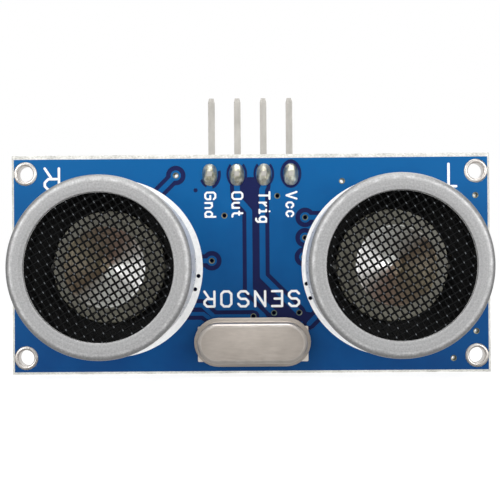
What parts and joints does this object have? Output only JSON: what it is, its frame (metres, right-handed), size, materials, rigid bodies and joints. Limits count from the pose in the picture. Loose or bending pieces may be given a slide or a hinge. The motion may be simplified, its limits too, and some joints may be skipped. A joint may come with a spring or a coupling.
{
  "type": "ultrasonic distance sensor",
  "caption": "Circuit board with two round ultrasonic transducers facing forward, a crystal, pins for a plug, corner holes and chips on the back, for measuring distance in a robot kit",
  "frame": {"origin": "centre of the pattern of four corner holes, on the back face of the board", "axes": "+X along the board, to the right as seen from the front; +Y out of the back of the board; +Z along the upright pins. The transducers face -Y."},
  "size_m": [0.045, 0.0185, 0.0266],
  "materials": {
    "board_laminate": "satin",
    "can_aluminium": "satin",
    "formed_aluminium": "polished",
    "screen_wire": "matt black",
    "black_plastic": "matt",
    "chip_epoxy": "matt",
    "silicone": "matt",
    "piezo_ceramic": "matt",
    "tin_plating": "bright",
    "nickel_steel": "satin",
    "spacer_plastic": "matt",
    "quartz": "clear",
    "capacitor_ceramic": "matt",
    "resistor_ceramic": "matt"
  },
  "bodies": {
    "root": {"circuit_board": "board_laminate", "screw_hole_lower_left": "tin_plating", "screw_hole_upper_left": "tin_plating", "screw_hole_lower_right": "tin_plating", "screw_hole_upper_right": "tin_plating", "receiver_can": "can_aluminium", "receiver_screen": "screen_wire", "receiver_base": "black_plastic", "receiver_seat": "silicone", "receiver_diaphragm": "formed_aluminium", "receiver_piezo_disc": "piezo_ceramic", "receiver_cone": "formed_aluminium", "receiver_pin_signal": "tin_plating", "receiver_pin_ground": "tin_plating", "receiver_wire_signal": "tin_plating", "receiver_wire_ground": "tin_plating", "transmitter_can": "can_aluminium", "transmitter_screen": "screen_wire", "transmitter_base": "black_plastic", "transmitter_seat": "silicone", "transmitter_diaphragm": "formed_aluminium", "transmitter_piezo_disc": "piezo_ceramic", "transmitter_cone": "formed_aluminium", "transmitter_pin_signal": "tin_plating", "transmitter_pin_ground": "tin_plating", "transmitter_wire_signal": "tin_plating", "transmitter_wire_ground": "tin_plating", "crystal_spacer": "spacer_plastic", "crystal_base": "nickel_steel", "crystal_cover": "nickel_steel", "crystal_lead_1": "tin_plating", "crystal_lead_2": "tin_plating", "crystal_quartz_blank": "quartz", "header_body": "black_plastic", "header_pin_1": "tin_plating", "header_pin_2": "tin_plating", "header_pin_3": "tin_plating", "header_pin_4": "tin_plating", "amplifier_chip": "chip_epoxy", "controller_chip": "chip_epoxy", "driver_chip": "chip_epoxy", "transistor": "chip_epoxy", "capacitor_1": "capacitor_ceramic", "capacitor_2": "capacitor_ceramic", "capacitor_3": "capacitor_ceramic", "capacitor_4": "capacitor_ceramic", "capacitor_5": "capacitor_ceramic", "resistor_1": "resistor_ceramic", "resistor_2": "resistor_ceramic", "resistor_3": "resistor_ceramic", "resistor_4": "resistor_ceramic", "resistor_5": "resistor_ceramic", "resistor_6": "resistor_ceramic", "resistor_7": "resistor_ceramic"}
  },
  "joints": []
}
